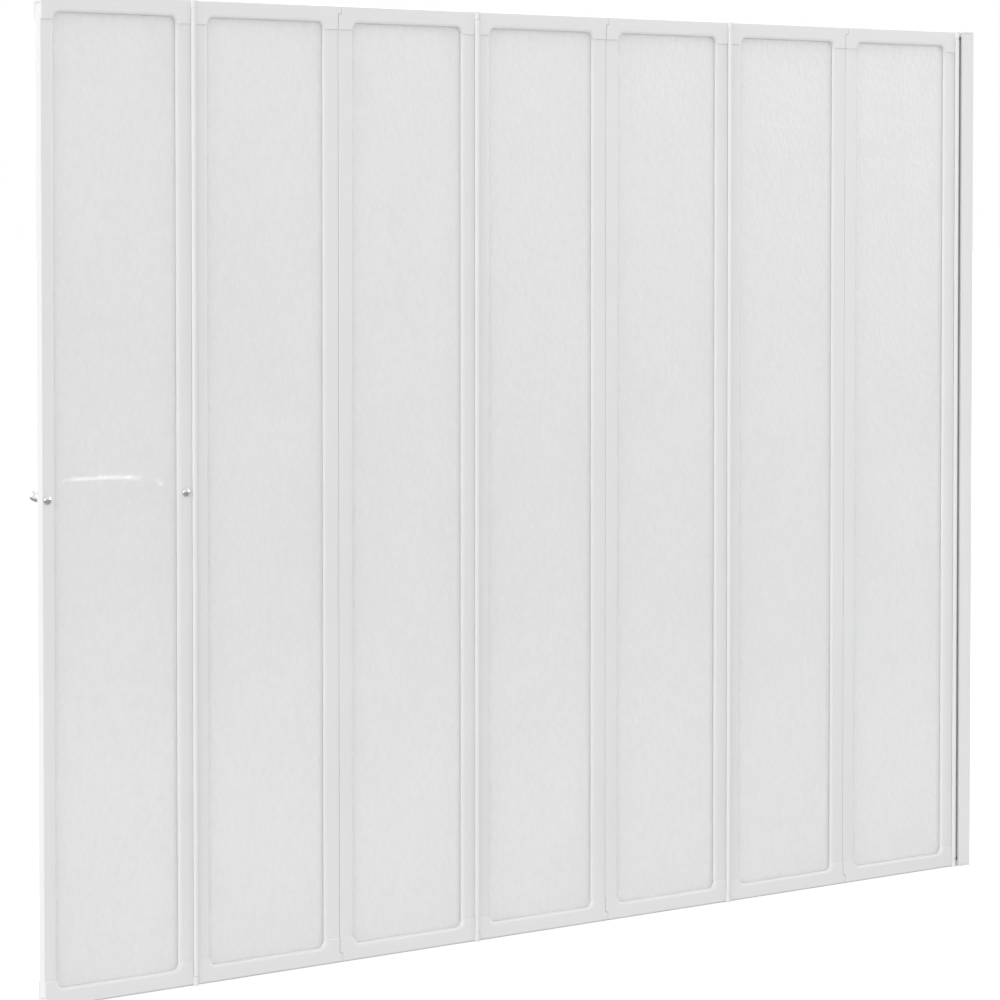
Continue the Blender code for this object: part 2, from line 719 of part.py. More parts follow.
def build_towel_rail(axis, side, materials):
    offset = (0, -side * AXIS_OFFSET, 0)
    finish(towel_rail("towel_rail"), materials["chrome"], axis, offset)
    for name, inset in (("free_side", FIXING_INSET - PANEL_PITCH), ("wall_side", -FIXING_INSET)):
        finish(cap_nut(f"towel_rail_nut_{name}", inset), materials["chrome"], axis, offset)


def build_wall_side(materials):
    finish(channel("wall_channel"), materials["profile_white"])
    finish(hinge_profile("wall_hinge_profile"), materials["profile_white"])
    finish(channel_cap("wall_top_cap", 1), materials["moulding_white"])
    finish(channel_cap("wall_bottom_cap", -1), materials["moulding_white"])
    for name, share in SCREW_SHARES.items():
        finish(clamp_screw(f"clamp_screw_{name}", share * SCREEN_HEIGHT), materials["screw_steel"])


def build():
    """The wall side, then each panel hung on the one before it."""
    materials = make_materials()
    build_wall_side(materials)
    parent = None
    parent_place = (0, 0, 0)
    for number in range(1, PANEL_COUNT + 1):
        side = FRONT if number % 2 else BACK
        place = (-WALL_REACH - (number - 1) * PANEL_PITCH, side * AXIS_OFFSET, 0)
        axis = bpy.data.objects.new(f"hinge_{number}_axis", None)
        PARTS.objects.link(axis)
        axis.parent = parent
        axis.location = [a - b for a, b in zip(place, parent_place)]
        build_panel(number, axis, side, materials)
        parent = axis
        parent_place = place
    build_towel_rail(parent, side, materials)


clear_scene()
bpy.context.scene.collection.children.link(PARTS)
build()
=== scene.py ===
"""The looks of a folding bath screen of seven frosted panels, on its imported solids.

Lengths are in metres, unless a name says otherwise. The wall is the plane x = 0, the screen reaches
from it along -X, and its front looks along -Y. The towel rail is on the back of panel 7, which is
the free end.
"""

import math

import bpy
import numpy as np
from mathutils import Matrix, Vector


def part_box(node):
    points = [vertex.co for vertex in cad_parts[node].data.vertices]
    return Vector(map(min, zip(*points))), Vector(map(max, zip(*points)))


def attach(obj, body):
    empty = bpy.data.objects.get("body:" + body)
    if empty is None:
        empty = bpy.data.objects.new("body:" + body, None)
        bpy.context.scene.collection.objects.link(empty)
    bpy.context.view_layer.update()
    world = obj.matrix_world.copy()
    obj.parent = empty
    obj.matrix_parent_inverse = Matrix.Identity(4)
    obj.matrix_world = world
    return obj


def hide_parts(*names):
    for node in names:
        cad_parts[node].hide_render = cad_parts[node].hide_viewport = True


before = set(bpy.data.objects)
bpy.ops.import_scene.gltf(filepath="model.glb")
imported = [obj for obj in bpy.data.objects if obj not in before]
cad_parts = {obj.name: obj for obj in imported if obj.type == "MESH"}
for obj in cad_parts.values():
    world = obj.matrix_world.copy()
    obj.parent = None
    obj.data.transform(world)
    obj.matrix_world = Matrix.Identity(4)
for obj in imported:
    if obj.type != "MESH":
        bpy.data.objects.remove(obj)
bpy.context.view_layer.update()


# Camera, floor and light. A studio table seen from the free end: a pale floor under the screen, and
# light from all round, brighter from above and from the left. A long lens stands 5.2 m from the
# middle of the screen, at four fifths of its height.
CAMERA_PLACE = (-4.12372, -4.03337, 0.37604)
CAMERA_TURN_DEGREES = 38.3777
CAMERA_TILT_DEGREES = 2.0444
FILM_WIDTH_MM = 36
LENS_MM = 132.121
LENS_SHIFT = -0.16
FAR_END_OF_SIGHT = 200


def add_node(tree, kind, inputs=(), **settings):
    """A shader node with its settings, and with values given to its inputs by name or number."""
    made = tree.nodes.new(kind)
    for key, value in settings.items():
        setattr(made, key, value)
    for key, value in dict(inputs).items():
        made.inputs[key].default_value = value
    return made


camera = bpy.data.objects.new("camera", bpy.data.cameras.new("camera"))
bpy.context.scene.collection.objects.link(camera)
bpy.context.scene.camera = camera
camera.location = CAMERA_PLACE
turn = math.radians(CAMERA_TURN_DEGREES)
tilt = math.radians(CAMERA_TILT_DEGREES)
sight = Vector((math.sin(turn) * math.cos(tilt), math.cos(turn) * math.cos(tilt), -math.sin(tilt)))
camera.rotation_euler = sight.to_track_quat("-Z", "Y").to_euler()
camera.data.sensor_width = FILM_WIDTH_MM
camera.data.lens = LENS_MM
camera.data.shift_y = LENS_SHIFT
camera.data.clip_end = FAR_END_OF_SIGHT

bpy.context.scene.view_settings.view_transform = "Standard"

FLOOR_LEVEL = -0.6502
FLOOR_REACH = 60
corner_signs = [(-1, -1), (1, -1), (1, 1), (-1, 1)]
corners = [(x * FLOOR_REACH, y * FLOOR_REACH, FLOOR_LEVEL) for x, y in corner_signs]
floor_mesh = bpy.data.meshes.new("floor")
floor_mesh.from_pydata(corners, [], [(0, 1, 2, 3)])
floor = bpy.data.objects.new("floor", floor_mesh)
bpy.context.scene.collection.objects.link(floor)

# The floor is a pale grey with a little light of its own. The camera sees it lifted to white, and
# less so through a pane. To polished metal it is a dark grey. The screen gets more of the floor's own
# light and less that it reflects, so that the floor's shadows don't dim the frame's foot.
FLOOR_GREY = (0.50, 0.50, 0.50, 1)
FLOOR_DARK_GREY = (0.20, 0.20, 0.21, 1)
OWN_LIGHT = 0.10
OWN_LIGHT_ON_SCREEN = 0.47
LIFT_TO_WHITE = 0.60
LIFT_SHARE_THROUGH_PANE = 0.20
floor_paint = bpy.data.materials.new("studio_floor")
floor_paint.use_nodes = True
tree = floor_paint.node_tree
shader = tree.nodes["Principled BSDF"]
shader.inputs["Roughness"].default_value = 0.9
shader.inputs["Specular IOR Level"].default_value = 0.0
shader.inputs["Emission Color"].default_value = (1, 1, 1, 1)
ray = add_node(tree, "ShaderNodeLightPath")
seen = add_node(tree, "ShaderNodeMath", {1: LIFT_SHARE_THROUGH_PANE}, operation="MULTIPLY_ADD")
glow = add_node(tree, "ShaderNodeMath", {1: OWN_LIGHT_ON_SCREEN, 2: OWN_LIGHT}, operation="MULTIPLY_ADD")
lift = add_node(tree, "ShaderNodeMath", {1: LIFT_TO_WHITE}, operation="MULTIPLY_ADD")
no_pane = add_node(tree, "ShaderNodeMath", {1: 0.5}, operation="LESS_THAN")
dark = add_node(tree, "ShaderNodeMath", operation="MULTIPLY_ADD")
tone = add_node(tree, "ShaderNodeMix", {6: FLOOR_GREY, 7: FLOOR_DARK_GREY}, data_type="RGBA")
tree.links.new(ray.outputs["Is Transmission Ray"], seen.inputs[0])
tree.links.new(ray.outputs["Is Camera Ray"], seen.inputs[2])
tree.links.new(seen.outputs[0], lift.inputs[0])
tree.links.new(ray.outputs["Is Diffuse Ray"], glow.inputs[0])
tree.links.new(glow.outputs[0], lift.inputs[2])
tree.links.new(lift.outputs[0], shader.inputs["Emission Strength"])
tree.links.new(ray.outputs["Transmission Depth"], no_pane.inputs[0])
tree.links.new(ray.outputs["Is Glossy Ray"], dark.inputs[0])
tree.links.new(no_pane.outputs[0], dark.inputs[1])
tree.links.new(ray.outputs["Is Diffuse Ray"], dark.inputs[2])
tree.links.new(dark.outputs[0], tone.inputs[0])
tree.links.new(tone.outputs[2], shader.inputs["Base Color"])
floor_mesh.materials.append(floor_paint)

# The sky's brightness is a constant, plus the dot product of the direction with LIGHT_SLOPE, plus that
# of its squares with LIGHT_CURVE, which lights both ends. The camera sees it as plain white.
LIGHT_LEVEL = 0.715
LIGHT_SLOPE = (-0.04, 0.05, 0.25)
LIGHT_CURVE = (0.20, 0.0, 0.0)
sky = bpy.data.worlds.new("studio")
bpy.context.scene.world = sky
sky.use_nodes = True
tree = sky.node_tree
direction = add_node(tree, "ShaderNodeTexCoord")
slope = add_node(tree, "ShaderNodeVectorMath", {1: LIGHT_SLOPE}, operation="DOT_PRODUCT")
squares = add_node(tree, "ShaderNodeVectorMath", operation="MULTIPLY")
curve = add_node(tree, "ShaderNodeVectorMath", {1: LIGHT_CURVE}, operation="DOT_PRODUCT")
sloped = add_node(tree, "ShaderNodeMath", {1: LIGHT_LEVEL}, operation="ADD")
level = add_node(tree, "ShaderNodeMath", operation="ADD")
ray = add_node(tree, "ShaderNodeLightPath")
seen = add_node(tree, "ShaderNodeMix", {3: 1.0}, data_type="FLOAT")
tree.links.new(direction.outputs["Generated"], slope.inputs[0])
tree.links.new(direction.outputs["Generated"], squares.inputs[0])
tree.links.new(direction.outputs["Generated"], squares.inputs[1])
tree.links.new(squares.outputs[0], curve.inputs[0])
tree.links.new(slope.outputs["Value"], sloped.inputs[0])
tree.links.new(sloped.outputs[0], level.inputs[0])
tree.links.new(curve.outputs["Value"], level.inputs[1])
tree.links.new(ray.outputs["Is Camera Ray"], seen.inputs[0])
tree.links.new(level.outputs[0], seen.inputs[2])
tree.links.new(seen.outputs[0], tree.nodes["Background"].inputs["Strength"])
tree.nodes["Background"].inputs["Color"].default_value = (1, 1, 1, 1)


def new_light(name, kind, heading, strength):
    """A light of this kind and strength, turned to shine along a heading."""
    lamp = bpy.data.lights.new(name, kind)
    lamp.energy = strength
    lit = bpy.data.objects.new(name, lamp)
    bpy.context.scene.collection.objects.link(lit)
    lit.rotation_euler = Vector(heading).to_track_quat("-Z", "Y").to_euler()
    return lit


# A soft box hangs behind the screen and above it, and is turned to the towel rail.
SOFT_BOX_PLACE = Vector((0.4, 0.9, 2.6))
SOFT_BOX_TARGET = Vector((-1.5, 0, 0))
SOFT_BOX_SIDE = 1.0
SOFT_BOX_WATTS = 60
soft_box = new_light("rail_light", "AREA", SOFT_BOX_TARGET - SOFT_BOX_PLACE, SOFT_BOX_WATTS)
soft_box.location = SOFT_BOX_PLACE
soft_box.data.shape = "SQUARE"
soft_box.data.size = SOFT_BOX_SIDE

# Each broad light has a heading, a spread in degrees that softens it, and a strength. Two of them
# graze the front, and draw the barrels and the lips beside the panes. The third lights the back.
BROAD_LIGHTS = {
    "left_light": ((0.95, 0.30, -0.08), 50, 1.44),
    "right_light": ((-0.95, 0.30, -0.08), 50, 0.85),
    "back_light": ((0.0, -0.95, -0.30), 40, 0.90),
}
for name, (heading, spread, strength) in BROAD_LIGHTS.items():
    broad_light = new_light(name, "SUN", heading, strength)
    broad_light.data.angle = math.radians(spread)


# Wall side. An extruded white profile is screwed to the wall, and a second one, with the first hinge
# barrel, slides in it. Both are aluminium with a satin stove enamel, drawn with faint long lines.


def start_group(name, inputs, outputs):
    """An empty shader node group, with its input values and its outputs, and the nodes at its ends."""
    group = bpy.data.node_groups.new(name, "ShaderNodeTree")
    for title, value in inputs.items():
        socket = group.interface.new_socket(title, in_out="INPUT", socket_type="NodeSocketFloat")
        socket.default_value = value
    for title in outputs:
        group.interface.new_socket(title, in_out="OUTPUT", socket_type="NodeSocketFloat")
    return group, group.nodes.new("NodeGroupInput"), group.nodes.new("NodeGroupOutput")


def noise(tree, scale, detail=2.0, stretch=(1, 1, 1)):
    """Noise in object space, from 0 to 1, with this many cells to a metre. Each axis is divided by its
    stretch, which draws the cells out along it."""
    place = add_node(tree, "ShaderNodeTexCoord")
    drawn = add_node(tree, "ShaderNodeMapping", {"Scale": tuple(scale / s for s in stretch)})
    made = add_node(tree, "ShaderNodeTexNoise", {"Scale": 1.0, "Detail": detail, "Roughness": 0.55})
    tree.links.new(place.outputs["Object"], drawn.inputs["Vector"])
    tree.links.new(drawn.outputs["Vector"], made.inputs["Vector"])
    return made.outputs["Fac"]


def remap(tree, value, low, high, out_low, out_high):
    """The value carried in a straight line from one range to another, and held at its ends."""
    made = add_node(tree, "ShaderNodeMapRange", {1: low, 2: high, 3: out_low, 4: out_high})
    tree.links.new(value, made.inputs["Value"])
    return made.outputs["Result"]


# Height is fine lines along the profile plus the slight waviness of enamel, each times its share.
LINE_CELLS = 1400
LINE_STRETCH = (1, 1, 400)
WAVE_CELLS = 260
drawn_lines, ends_in, ends_out = start_group("drawn_lines", {"Lines": 1.0, "Waves": 1.0}, ["Height"])
lines = add_node(drawn_lines, "ShaderNodeMath", operation="MULTIPLY")
drawn_lines.links.new(noise(drawn_lines, LINE_CELLS, 3.0, LINE_STRETCH), lines.inputs[0])
drawn_lines.links.new(ends_in.outputs["Lines"], lines.inputs[1])
waves = add_node(drawn_lines, "ShaderNodeMath", operation="MULTIPLY_ADD")
drawn_lines.links.new(noise(drawn_lines, WAVE_CELLS, 1.0, (1, 1, 2)), waves.inputs[0])
drawn_lines.links.new(ends_in.outputs["Waves"], waves.inputs[1])
drawn_lines.links.new(lines.outputs[0], waves.inputs[2])
drawn_lines.links.new(waves.outputs[0], ends_out.inputs["Height"])

# Tone drifts slowly over the surface, and Haze is a smudged roughness that touch leaves.
DRIFT_CELLS = 7
SMUDGE_CELLS = 28
handled, ends_in, ends_out = start_group("handled", {"Tone Drift": 0.01, "Haze": 0.05}, ["Tone", "Haze"])
drift = add_node(handled, "ShaderNodeMath", {2: 1.0}, operation="MULTIPLY_ADD")
handled.links.new(remap(handled, noise(handled, DRIFT_CELLS), 0.3, 0.7, -1, 1), drift.inputs[0])
handled.links.new(ends_in.outputs["Tone Drift"], drift.inputs[1])
haze = add_node(handled, "ShaderNodeMath", operation="MULTIPLY")
handled.links.new(remap(handled, noise(handled, SMUDGE_CELLS, 4.0), 0.42, 0.75, 0, 1), haze.inputs[0])
handled.links.new(ends_in.outputs["Haze"], haze.inputs[1])
handled.links.new(drift.outputs[0], ends_out.inputs["Tone"])
handled.links.new(haze.outputs[0], ends_out.inputs["Haze"])


def new_finish(name, colour, roughness, drift, haze, metallic=0.0):
    """A material whose colour drifts in tone and whose roughness has smudges, with its tree and shader."""
    made = bpy.data.materials.new(name)
    made.use_nodes = True
    tree = made.node_tree
    shader = tree.nodes["Principled BSDF"]
    shader.inputs["Metallic"].default_value = metallic
    marks = add_node(tree, "ShaderNodeGroup", {"Tone Drift": drift, "Haze": haze}, node_tree=handled)
    tinted = add_node(tree, "ShaderNodeVectorMath", {0: colour}, operation="SCALE")
    tree.links.new(marks.outputs["Tone"], tinted.inputs["Scale"])
    tree.links.new(tinted.outputs[0], shader.inputs["Base Color"])
    rough = add_node(tree, "ShaderNodeMath", {1: roughness}, operation="ADD")
    tree.links.new(marks.outputs["Haze"], rough.inputs[0])
    tree.links.new(rough.outputs[0], shader.inputs["Roughness"])
    return made, tree, shader


def press(tree, shader, height, depth):
    """Bumps the shader's normal by a height from 0 to 1, this many metres deep."""
    bump = add_node(tree, "ShaderNodeBump", {"Distance": depth, "Strength": 1.0})
    tree.links.new(height, bump.inputs["Height"])
    tree.links.new(bump.outputs["Normal"], shader.inputs["Normal"])


def dress(name, finish):
    """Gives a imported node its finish."""
    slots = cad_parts[name].data.materials
    slots.clear()
    slots.append(finish)


PROFILE_WHITE = (0.830, 0.831, 0.832)
ENAMEL_RELIEF = 0.00002
enamel, tree, shader = new_finish("enamelled_profile", PROFILE_WHITE, 0.30, drift=0.008, haze=0.06)
relief = add_node(tree, "ShaderNodeGroup", {"Lines": 0.25, "Waves": 1.0}, node_tree=drawn_lines)
press(tree, shader, relief.outputs["Height"], ENAMEL_RELIEF)
for piece in ("wall_channel", "wall_hinge_profile"):
    dress(piece, enamel)


# End caps of the wall channel. White plastic plugs, injection-moulded with a fine grain on their
# faces, and pushed into its two ends.
MOULDING_WHITE = (0.830, 0.831, 0.832)
MOULD_GRAIN = 2200
MOULD_RELIEF = 0.000015
moulding, tree, shader = new_finish("moulded_plastic", MOULDING_WHITE, 0.36, drift=0.006, haze=0.05)
press(tree, shader, noise(tree, MOULD_GRAIN), MOULD_RELIEF)
for piece in ("wall_top_cap", "wall_bottom_cap"):
    dress(piece, moulding)


# Stiles. Two hollow profiles to each panel, one with the barrel of the hinge and one with the cove
# that the next barrel turns in, drawn and enamelled as the wall profiles are.
PANEL_COUNT = 7
panels = range(1, PANEL_COUNT + 1)
for number in panels:
    dress(f"panel_{number}_wall_side_stile", enamel)
    dress(f"panel_{number}_free_side_stile", enamel)


# Top and bottom rails. Moulded caps that slip over the ends of both stiles and the pane, with
# rounded inner corners and a hinge ear, in the same plastic as the end caps.
for number in panels:
    dress(f"panel_{number}_top_rail", moulding)
    dress(f"panel_{number}_bottom_rail", moulding)


# Panes. Extruded sheets of clear polystyrene, frosted by a roller that pressed small pearls into
# both faces, so that light comes through and shapes behind them blur.
PANE_TINT = (0.965, 0.966, 0.966)
PANE_CLEARNESS = 0.40
PANE_ROUGHNESS = 0.20
PANE_RELIEF = 0.00035
PEARL_CELLS = (150, 150, 95)
PEARL_BEND = (1.6, 0, 1.6)
# The sheet's colour is multiplied by these, from a pearl's rim to its crown: painted shade of the pearls.
PEARL_PAINTED_SHADE = (0.975, 1.012)
FROST_CELLS = 900

# Pearls are the soft cells of a Voronoi pattern, stretched upright and bent by noise; Grain is the fine
# frost between them. Mask is the pearls' domes, from 0 at a rim to 1 on a crown, for painted shade.
pearls, ends_in, ends_out = start_group("pressed_pearls", {"Pearls": 1.0, "Grain": 0.2}, ["Height", "Mask"])
place = add_node(pearls, "ShaderNodeTexCoord")
sized = add_node(pearls, "ShaderNodeMapping", {"Scale": PEARL_CELLS})
bent = add_node(pearls, "ShaderNodeTexNoise", {"Scale": 0.7, "Detail": 2.0})
pushed = add_node(pearls, "ShaderNodeVectorMath", {1: PEARL_BEND}, operation="MULTIPLY_ADD")
cells = add_node(pearls, "ShaderNodeTexVoronoi", {"Scale": 1.0, "Smoothness": 0.6}, feature="SMOOTH_F1")
pearls.links.new(place.outputs["Object"], sized.inputs["Vector"])
pearls.links.new(sized.outputs["Vector"], bent.inputs["Vector"])
pearls.links.new(bent.outputs["Color"], pushed.inputs[0])
pearls.links.new(sized.outputs["Vector"], pushed.inputs[2])
pearls.links.new(pushed.outputs[0], cells.inputs["Vector"])
domed = remap(pearls, cells.outputs["Distance"], 0.05, 0.75, 1, 0)
raised = add_node(pearls, "ShaderNodeMath", operation="MULTIPLY")
pearls.links.new(domed, raised.inputs[0])
pearls.links.new(ends_in.outputs["Pearls"], raised.inputs[1])
grained = add_node(pearls, "ShaderNodeMath", operation="MULTIPLY_ADD")
pearls.links.new(noise(pearls, FROST_CELLS, 2.0, (1, 1, 1.6)), grained.inputs[0])
pearls.links.new(ends_in.outputs["Grain"], grained.inputs[1])
pearls.links.new(raised.outputs[0], grained.inputs[2])
pearls.links.new(grained.outputs[0], ends_out.inputs["Height"])
pearls.links.new(domed, ends_out.inputs["Mask"])

frosted = bpy.data.materials.new("frosted_sheet")
frosted.use_nodes = True
tree = frosted.node_tree
shader = tree.nodes["Principled BSDF"]
shader.inputs["Transmission Weight"].default_value = PANE_CLEARNESS
shader.inputs["IOR"].default_value = 1.45
pattern = add_node(tree, "ShaderNodeGroup", {"Pearls": 1.0, "Grain": 0.25}, node_tree=pearls)
press(tree, shader, pattern.outputs["Height"], PANE_RELIEF)
marks = add_node(tree, "ShaderNodeGroup", {"Tone Drift": 0.006, "Haze": 0.05}, node_tree=handled)
tinted = add_node(tree, "ShaderNodeVectorMath", {0: PANE_TINT}, operation="SCALE")
# Painted shade of the pearls: the sheet's colour is lighter on each pearl's crown and darker at its rim.
pearl_painted_shade = add_node(tree, "ShaderNodeMath", operation="MULTIPLY")
tree.links.new(marks.outputs["Tone"], pearl_painted_shade.inputs[0])
tree.links.new(remap(tree, pattern.outputs["Mask"], 0, 1, *PEARL_PAINTED_SHADE), pearl_painted_shade.inputs[1])
tree.links.new(pearl_painted_shade.outputs[0], tinted.inputs["Scale"])
tree.links.new(tinted.outputs[0], shader.inputs["Base Color"])
rough = add_node(tree, "ShaderNodeMath", {1: PANE_ROUGHNESS}, operation="ADD")
tree.links.new(marks.outputs["Haze"], rough.inputs[0])
tree.links.new(rough.outputs[0], shader.inputs["Roughness"])
for number in panels:
    dress(f"panel_{number}_pane", frosted)


# Bottom seals. Soft grey vinyl strips whose bead is pulled into the slot of the bottom rail. Two fins
# hang from the strip and drag on the rim of the bath; they were cut to length and lie a little wavy.


def mesh_piece(name, points, faces, finish):
    """A smooth mesh object at the origin, from an array of points and a list of faces."""
    mesh = bpy.data.meshes.new(name)
    mesh.from_pydata(points.tolist(), [], faces)
    mesh.materials.append(finish)
    mesh.polygons.foreach_set("use_smooth", np.ones(len(mesh.polygons), dtype=bool))
    mesh.validate()
    made = bpy.data.objects.new(name, mesh)
    bpy.context.scene.collection.objects.link(made)
    return made


def tube_faces(rows, columns):
    """Quads of a grid whose columns close on themselves, with an end face on the first and last row."""
    across = np.arange(columns)
    beside = (across + 1) % columns
    start = np.arange(rows - 1)[:, None] * columns
    quads = np.stack([start + across, start + columns + across, start + columns + beside, start + beside], -1)
    last = (rows - 1) * columns + across
    return quads.reshape(-1, 4).tolist() + [across.tolist(), last[::-1].tolist()]


SEAL_BOTTOM = -0.65
SEAL_DROP = 0.0022
SEAL_TOP = SEAL_BOTTOM + SEAL_DROP
STRIP_HALF = 0.0044
STRIP_ROUNDING = 0.0004
STRIP_GAP = 0.0003
STRIP_THICKNESS = 0.0008
STRIP_TOP = SEAL_TOP - STRIP_GAP
STRIP_UNDERSIDE = STRIP_TOP - STRIP_THICKNESS
STRIP_POINTS = 90
FIN_THICKNESS = 0.0006
FIN_POINT = 0.0003
FIN_FOOT = SEAL_BOTTOM + 0.0002
FIN_WAVE = 0.00012
SLOW_SINE = 83
QUICK_SINE = 211
RIB_HALF = 0.0006
RIB_FOOT_HALF = 0.0004
RIB_FOOT = SEAL_BOTTOM + 0.0008
BEAD_HALF = 0.0011
BEAD_TOP_HALF = 0.0004
BEAD_NECK_HALF = BEAD_HALF * 0.7
BEAD_TOP = SEAL_TOP + 0.003
BEAD_ROUNDING = 0.0006
BEAD_SHOULDER = SEAL_TOP + 0.0017
BEAD_NECK = SEAL_TOP + 0.0012

VINYL_GREY = (0.70, 0.705, 0.71)
VINYL_STREAKS = 700
VINYL_RELIEF = 0.00002
vinyl, tree, shader = new_finish("soft_vinyl", VINYL_GREY, 0.42, drift=0.03, haze=0.12)
press(tree, shader, noise(tree, VINYL_STREAKS, 2.0, (60, 1, 1)), VINYL_RELIEF)


def seal_section():
    """Half of the section, from the bead's top down to the middle of the underside, as y and height."""
    return np.array([
        (BEAD_TOP_HALF, BEAD_TOP),
        (BEAD_HALF, BEAD_TOP - BEAD_ROUNDING),
        (BEAD_HALF, BEAD_SHOULDER),
        (BEAD_NECK_HALF, BEAD_NECK),
        (BEAD_NECK_HALF, STRIP_TOP),
        (STRIP_HALF - STRIP_ROUNDING, STRIP_TOP),
        (STRIP_HALF, STRIP_TOP - STRIP_ROUNDING),
        (STRIP_HALF, FIN_FOOT + FIN_POINT),
        (STRIP_HALF - FIN_THICKNESS / 2, FIN_FOOT),
        (STRIP_HALF - FIN_THICKNESS, FIN_FOOT + FIN_POINT),
        (STRIP_HALF - FIN_THICKNESS, STRIP_UNDERSIDE),
        (RIB_HALF, STRIP_UNDERSIDE),
        (RIB_FOOT_HALF, RIB_FOOT),
    ])


def seal_strip(name, left, right):
    """The section carried along X. Below the strip it rises and falls along the length, as a slow and a
    quick sine, whose constants are radians to a metre. That is nothing at the strip's underside and
    up to FIN_WAVE at the fins' feet."""
    half = seal_section()
    section = np.vstack([half, half[::-1] * (-1, 1)])
    along = np.linspace(left, right, STRIP_POINTS)
    points = np.empty((len(along), len(section), 3))
    points[:, :, 0] = along[:, None]
    points[:, :, 1:] = section
    tip = np.clip((STRIP_UNDERSIDE - section[:, 1]) / (STRIP_UNDERSIDE - FIN_FOOT), 0, 1)
    wave = 0.5 + 0.3 * np.sin(along * SLOW_SINE) + 0.2 * np.sin(along * QUICK_SINE + 1)
    points[:, :, 2] += FIN_WAVE * wave[:, None] * tip
    return mesh_piece(name, points.reshape(-1, 3), tube_faces(*points.shape[:2]), vinyl)


for number in panels:
    low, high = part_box(f"panel_{number}_bottom_seal")
    strip = seal_strip(f"seal_strip_{number}", low.x, high.x)
    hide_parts(f"panel_{number}_bottom_seal")
    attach(strip, f"panel_{number}")


# Hinge rods. Straight bright-drawn steel with fine lines along it, one for each joint, pushed
# through the barrel and into the two ears, and hidden in them.
STEEL_GREY = (0.58, 0.58, 0.60)
DRAWING_LINES = 2600
DRAWING_STRETCH = (1, 1, 300)
STEEL_RELIEF = 0.00001
drawn_steel, tree, shader = new_finish("drawn_steel", STEEL_GREY, 0.28, drift=0.03, haze=0.05, metallic=1.0)
press(tree, shader, noise(tree, DRAWING_LINES, 2.0, DRAWING_STRETCH), STEEL_RELIEF)
for number in panels:
    dress(f"hinge_{number}_rod", drawn_steel)


# Towel rail. One steel tube, bent twice and chromed, with a stud turned on each end that passes
# through the stile. It rises a little between the studs and the long run.
CHROME_GREY = (0.86, 0.865, 0.87)
CHROME_RIPPLES = 120
CHROME_RELIEF = 0.000012
chrome, tree, shader = new_finish("polished_chrome", CHROME_GREY, 0.05, drift=0.01, haze=0.07, metallic=1.0)
press(tree, shader, noise(tree, CHROME_RIPPLES, 1.0), CHROME_RELIEF)

STILE_HALF = 0.0065
SEAT_GAP = 0.0003
RAIL_SEAT = STILE_HALF + SEAT_GAP
STUD_GRIP = 0.0016
STUD_TIP = RAIL_SEAT + STUD_GRIP
STUD_CHAMFER = 0.0003
STUD_CORNER = 0.0001
rail_low, rail_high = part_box("towel_rail")
TUBE_RADIUS = 0.005
TUBE_CHAMFER = 0.0004
TUBE_STANDOFF = rail_high.y - TUBE_RADIUS
TUBE_BEND = 0.016
TUBE_RISE = 0.017
RISE_START = 0.002
RISE_END = 0.095
FIXING_LEVEL = rail_low.z + TUBE_RADIUS
STUD_RADIUS = 0.002
TUBE_SIDES = 48
TUBE_START = 0.001
RISE_POINTS = 90
RAIL_SHARP_DEGREES = 40


def rail_half_line(along):
    """The centre line from a stud to the end of its rise: a straight leg along Y, a quarter turn, and
    a straight run along X. The rise eases in and out as 3 s^2 - 2 s^3 of the share s of its way."""
    leg = TUBE_STANDOFF - TUBE_BEND - RAIL_SEAT
    bend = TUBE_BEND * math.pi / 2
    angle = np.clip((along - leg) / TUBE_BEND, 0, math.pi / 2)
    past = np.clip(along - leg - bend, 0, None)
    x = TUBE_BEND * (1 - np.cos(angle)) + past
    y = RAIL_SEAT + np.minimum(along, leg) + TUBE_BEND * np.sin(angle)
    share = np.clip((along - RISE_START) / (RISE_END - RISE_START), 0, 1)
    return np.stack([x, y, TUBE_RISE * share * share * (3 - 2 * share)], 1)


def towel_rail():
    """Rings round the centre line: each ring lies across the line's direction, and its radius steps
    from the stud to the tube through a small chamfer."""
    span = (rail_high.x - rail_low.x) / 2 - TUBE_RADIUS
    middle = (rail_high.x + rail_low.x) / 2
    stud_y = np.array([-STUD_TIP, -STUD_TIP + STUD_CHAMFER, RAIL_SEAT - STUD_CORNER, RAIL_SEAT, RAIL_SEAT])
    stud = np.stack([np.zeros_like(stud_y), stud_y, np.zeros_like(stud_y)], 1)
    radii = np.array([STUD_RADIUS - STUD_CHAMFER] + [STUD_RADIUS] * 3 + [TUBE_RADIUS - TUBE_CHAMFER])
    along = np.concatenate([[TUBE_CHAMFER], np.linspace(TUBE_START, RISE_END, RISE_POINTS)])
    half = np.vstack([stud, rail_half_line(along)])
    radii = np.concatenate([radii, np.full(len(along), TUBE_RADIUS)])
    half[:, 0] -= span
    line = np.vstack([half, half[::-1] * (-1, 1, 1)])
    radii = np.concatenate([radii, radii[::-1]])
    ahead = np.gradient(line, axis=0)
    lengths = np.linalg.norm(ahead, axis=1, keepdims=True)
    ahead = ahead / np.maximum(lengths, 1e-12)
    across = np.cross(ahead, (0, 0, 1))
    across /= np.linalg.norm(across, axis=1, keepdims=True)
    upward = np.cross(across, ahead)
    turn = np.linspace(0, 2 * math.pi, TUBE_SIDES, endpoint=False)
    ring = across[:, None] * np.cos(turn)[:, None] + upward[:, None] * np.sin(turn)[:, None]
    points = line[:, None] + radii[:, None, None] * ring
    points += (middle, 0, FIXING_LEVEL)
    return mesh_piece("chromed_rail", points.reshape(-1, 3), tube_faces(*points.shape[:2]), chrome)


rail = towel_rail()
rail.data.set_sharp_from_angle(angle=math.radians(RAIL_SHARP_DEGREES))
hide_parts("towel_rail")
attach(rail, "panel_7")


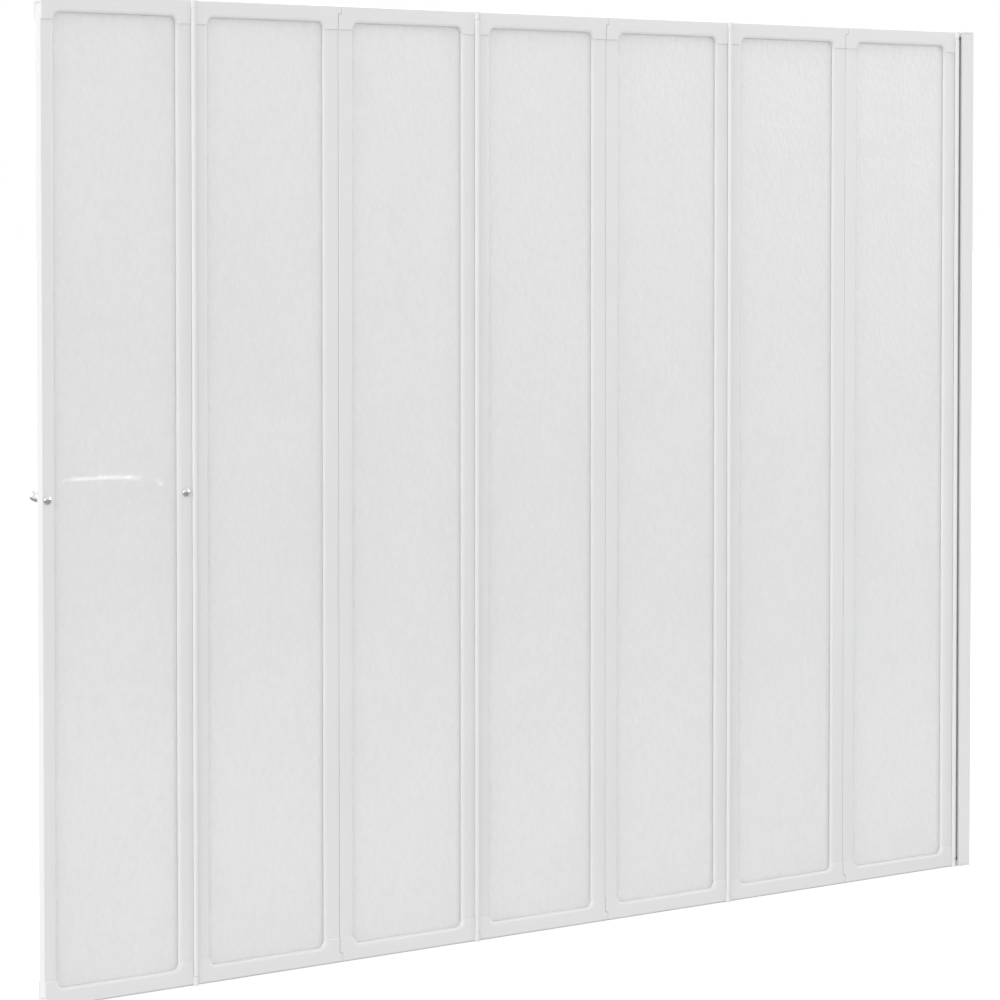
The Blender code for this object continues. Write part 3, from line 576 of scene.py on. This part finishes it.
# Cap nuts. Turned and chromed domes, screwed onto the studs from the front of the stiles, with a
# narrow flat rim that bears on the enamel.
NUT_SIDES = 64
NUT_RIM = 0.0008
NUT_BORE = 0.0024
NUT_CHAMFER = 0.0002
NUT_STEP_BEVEL = 0.0001
DOME_INSET = 0.0004
DOME_TIP = 0.00005
DOME_POINTS = 18
NUT_SHARP_DEGREES = 35


def cap_nut(name, x, back, front, radius):
    """A profile of radius and depth turned about Y: a chamfered rim, a step, and an elliptical dome. Its
    rows run from the tip to the bore, so that the faces point outwards."""
    step = back - NUT_RIM
    bow = np.linspace(0, math.pi / 2, DOME_POINTS)
    dome = np.stack([(radius - DOME_INSET) * np.cos(bow), step + (front - step) * np.sin(bow)], 1)
    rim = [(NUT_BORE, back), (radius - NUT_CHAMFER, back), (radius, back - NUT_CHAMFER)]
    rim.append((radius, step + NUT_STEP_BEVEL))
    profile = np.vstack([rim, dome[:-1], [(DOME_TIP, front)]])[::-1]
    turn = np.linspace(0, 2 * math.pi, NUT_SIDES, endpoint=False)
    points = np.empty((len(profile), NUT_SIDES, 3))
    points[:, :, 0] = x + profile[:, :1] * np.cos(turn)
    points[:, :, 1] = profile[:, 1:]
    points[:, :, 2] = FIXING_LEVEL + profile[:, :1] * np.sin(turn)
    return mesh_piece(name, points.reshape(-1, 3), tube_faces(*points.shape[:2]), chrome)


for side in ("free_side", "wall_side"):
    low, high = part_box(f"towel_rail_nut_{side}")
    nut = cap_nut(f"domed_nut_{side}", (low.x + high.x) / 2, high.y, low.y, (high.x - low.x) / 2)
    nut.data.set_sharp_from_angle(angle=math.radians(NUT_SHARP_DEGREES))
    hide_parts(f"towel_rail_nut_{side}")
    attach(nut, "panel_7")


# Clamp screws. Pan heads with a cross recess on the back of the channel, in plated steel, which hold
# the hinge profile at the width that was set at fitting.
PLATED_GREY = (0.60, 0.605, 0.62)
PLATING_GRAIN = 3000
PLATING_RELIEF = 0.00001
plated, tree, shader = new_finish("plated_steel", PLATED_GREY, 0.22, drift=0.04, haze=0.12, metallic=1.0)
press(tree, shader, noise(tree, PLATING_GRAIN), PLATING_RELIEF)
for place in ("top", "middle", "bottom"):
    dress(f"clamp_screw_{place}", plated)
